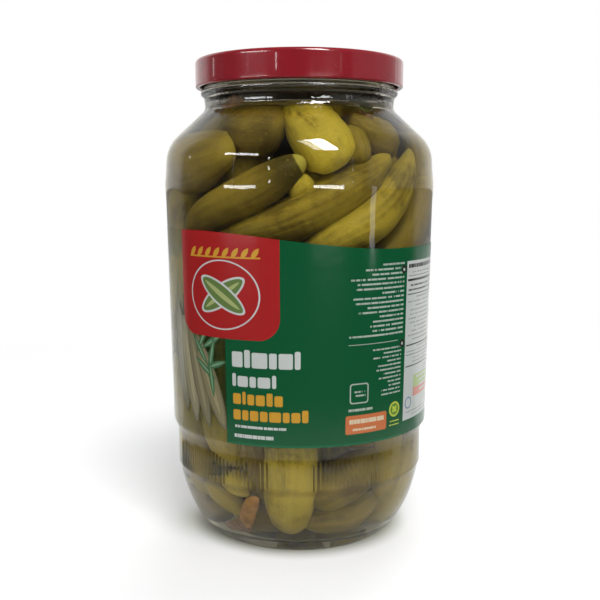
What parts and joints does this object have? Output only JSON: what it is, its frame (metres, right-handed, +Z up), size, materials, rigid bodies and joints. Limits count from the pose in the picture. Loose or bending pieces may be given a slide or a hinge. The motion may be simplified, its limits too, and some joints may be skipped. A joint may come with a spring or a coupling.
{
  "type": "pickle jar",
  "caption": "Tall round glass jar of whole pickled cucumbers in brine, with beaded shoulder, rounded heel, red twist-off metal lid and a printed film label",
  "frame": {"origin": "the middle of the base ring, on the surface the jar stands on", "axes": "+Z is up, along the jar's axis; the front of the label faces -Y; +X is to the right of a viewer at the front"},
  "size_m": [0.1144, 0.1144, 0.1978],
  "materials": {
    "glass": "clear, slightly greenish at the edges",
    "lacquered_tin": "glossy red lacquer",
    "printed_film": "green and red print on clear film",
    "pickle_skin": "wet olive skin",
    "pepper": "soft orange-brown flesh",
    "herb": "soaked brown leaf"
  },
  "bodies": {
    "root": {"glass_jar": "glass", "lid": "lacquered_tin", "label": "printed_film", "pickles": "pickle_skin", "pepper_piece": "pepper", "herb_leaf": "herb"}
  },
  "joints": []
}
